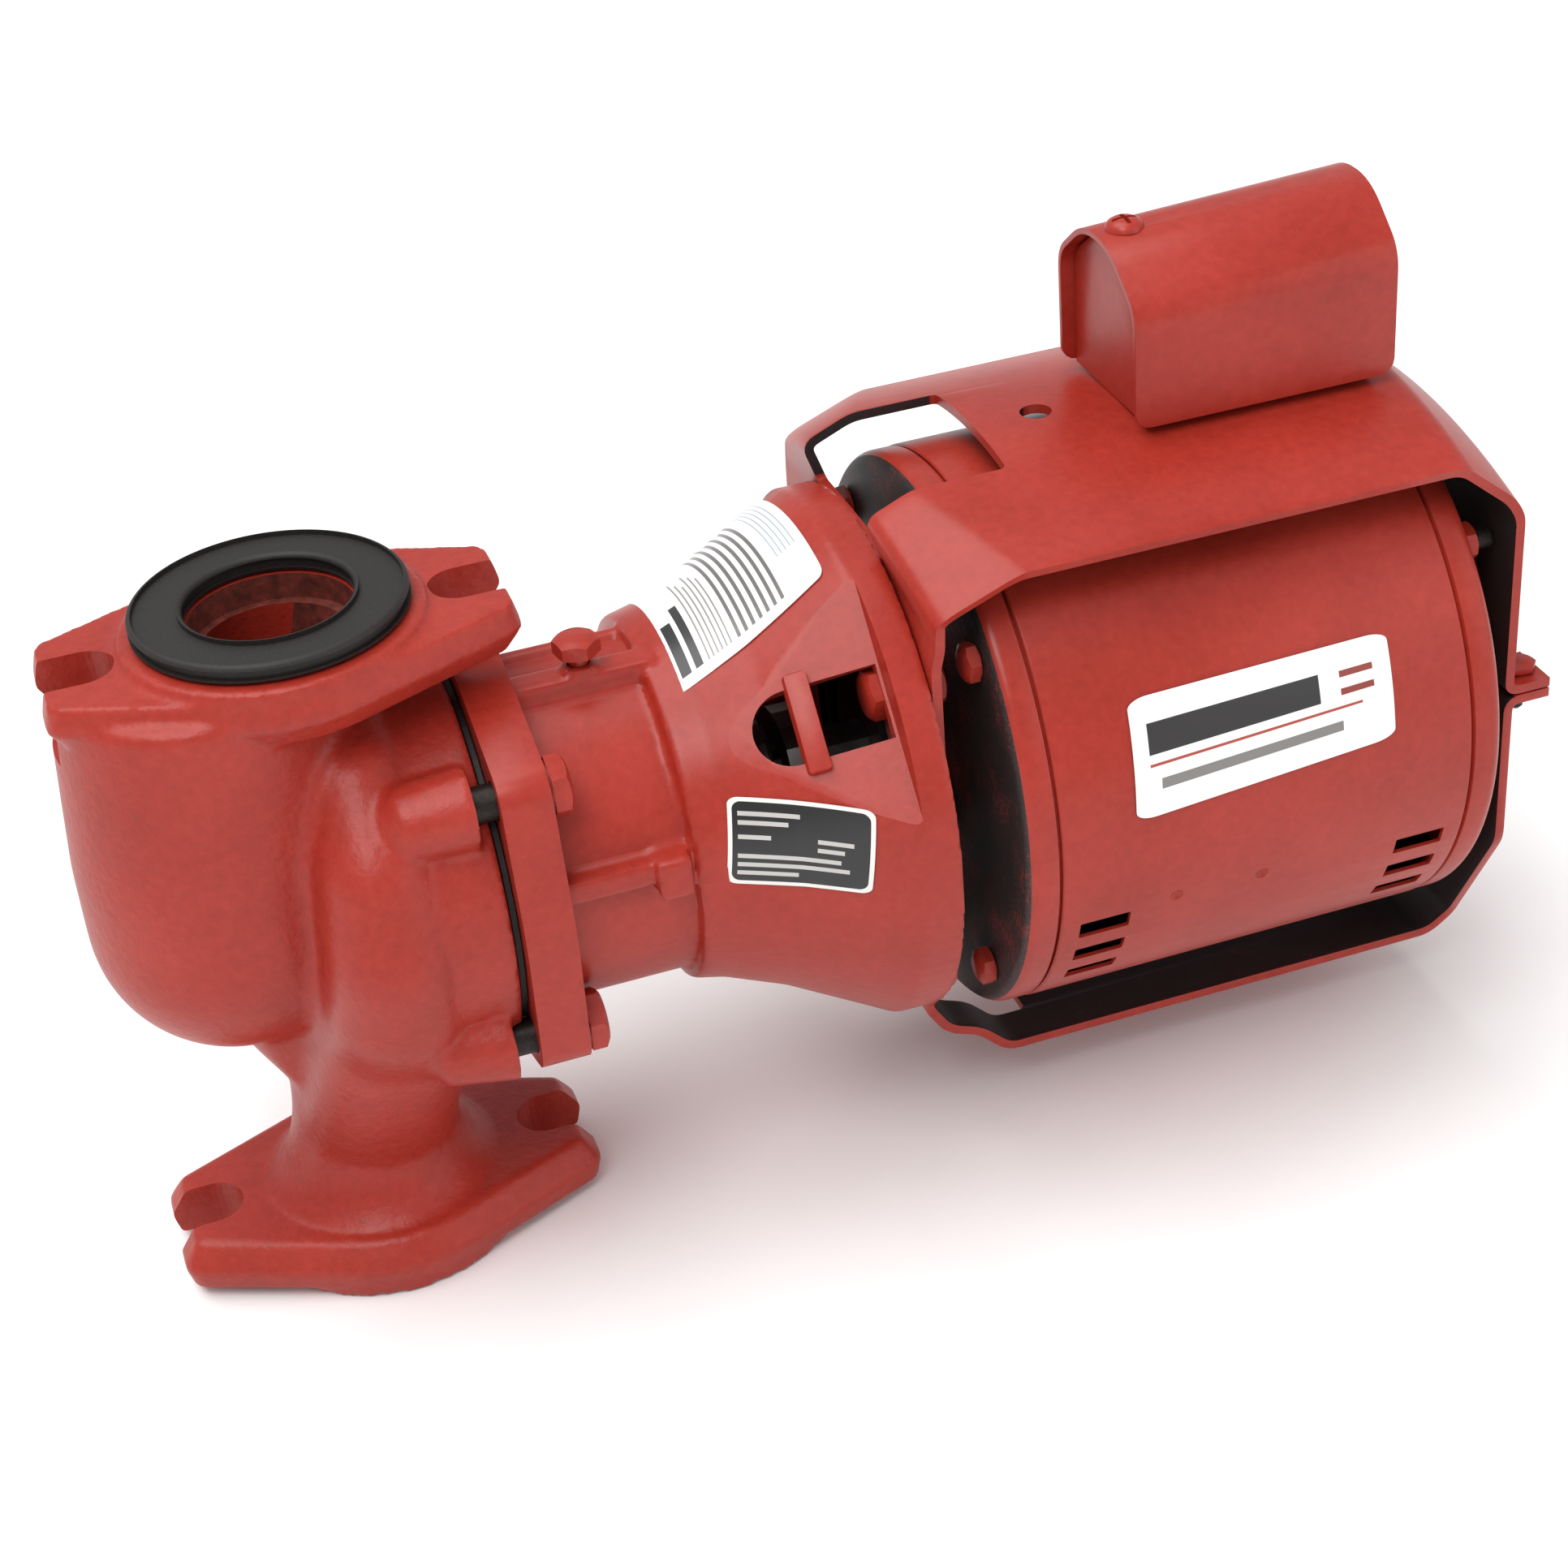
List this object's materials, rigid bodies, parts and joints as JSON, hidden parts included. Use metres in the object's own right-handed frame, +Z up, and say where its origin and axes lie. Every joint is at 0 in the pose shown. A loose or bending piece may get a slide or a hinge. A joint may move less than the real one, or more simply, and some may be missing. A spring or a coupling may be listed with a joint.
{
  "type": "circulator pump",
  "caption": "In-line circulator pump for hot-water heating: a flanged volute casing, an open bearing bracket with a coupler, and a motor on a sheet cradle with a junction box.",
  "frame": {"origin": "centre of the lower pipe flange's face, on the pipe's axis", "axes": "+Z up the pipe's axis to the upper flange, +X along the shaft from the pump to the motor, Y across"},
  "size_m": [0.3291, 0.1316, 0.2104],
  "materials": {
    "painted_cast_iron": "satin red enamel over cast iron",
    "painted_steel": "satin red enamel over sheet and screws",
    "dark_rubber": "matt moulded rubber",
    "bronze": "cast bronze, machined faces",
    "steel": "ground and turned steel",
    "core_steel": "stacked dark laminations",
    "copper": "varnished copper wire",
    "felt": "oiled felt",
    "carbon": "lapped carbon",
    "ceramic": "polished ceramic",
    "capacitor_can": "dark lacquered can"
  },
  "bodies": {
    "pump_body": {"volute_casing": "painted_cast_iron", "body_gasket": "dark_rubber", "upper_flange_gasket": "dark_rubber", "seal_seat": "ceramic", "bearing_bracket": "painted_cast_iron", "front_shaft_bearing": "bronze", "rear_shaft_bearing": "bronze", "oil_wick": "felt", "casing_bolt_1": "painted_steel", "casing_bolt_2": "painted_steel", "casing_bolt_3": "painted_steel", "casing_bolt_4": "painted_steel", "bracket_bolt_1": "painted_steel", "bracket_bolt_2": "painted_steel", "bracket_bolt_3": "painted_steel", "bracket_bolt_4": "painted_steel", "bracket_nut_1": "painted_steel", "bracket_nut_2": "painted_steel", "bracket_nut_3": "painted_steel", "bracket_nut_4": "painted_steel", "motor_shell": "painted_steel", "front_end_bell": "painted_steel", "rear_end_bell": "painted_steel", "stator_core": "core_steel", "front_winding": "copper", "rear_winding": "copper", "front_motor_bearing": "bronze", "rear_motor_bearing": "bronze", "through_bolt_1": "painted_steel", "through_bolt_2": "painted_steel", "through_bolt_3": "painted_steel", "through_bolt_4": "painted_steel", "through_bolt_nut_1": "painted_steel", "through_bolt_nut_2": "painted_steel", "through_bolt_nut_3": "painted_steel", "through_bolt_nut_4": "painted_steel", "cradle_top": "painted_steel", "cradle_base": "painted_steel", "front_resilient_ring": "dark_rubber", "rear_resilient_ring": "dark_rubber", "clamp_screw_near": "painted_steel", "clamp_screw_far": "painted_steel", "clamp_nut_near": "painted_steel", "clamp_nut_far": "painted_steel", "junction_box_base": "painted_steel", "capacitor": "capacitor_can"},
    "rotating_assembly": {"impeller": "bronze", "impeller_nut": "steel", "seal_head": "carbon", "seal_spring": "steel", "pump_shaft": "steel", "coupler_pump_hub": "steel", "coupler_spring": "steel", "coupler_motor_hub": "steel", "motor_shaft": "steel", "rotor_core": "core_steel"},
    "oil_cap": {"oil_cap": "painted_steel"},
    "box_cover": {"junction_box_cover": "painted_steel", "cover_screw": "painted_steel"}
  },
  "joints": [
    {"name": "shaft_spin", "type": "hinge", "parent": "pump_body", "child": "rotating_assembly", "pos_m": [0, 0, 0.095], "axis": [1, 0, 0], "continuous": true},
    {"name": "oil_cap_turn", "type": "hinge", "parent": "pump_body", "child": "oil_cap", "pos_m": [0.0614, -0.0087, 0.1393], "axis": [0, 0, 1], "range_deg": [0, 720]},
    {"name": "box_cover_lift", "type": "slide", "parent": "pump_body", "child": "box_cover", "axis": [0, 0, 1], "range_m": [0, 0.045]}
  ]
}
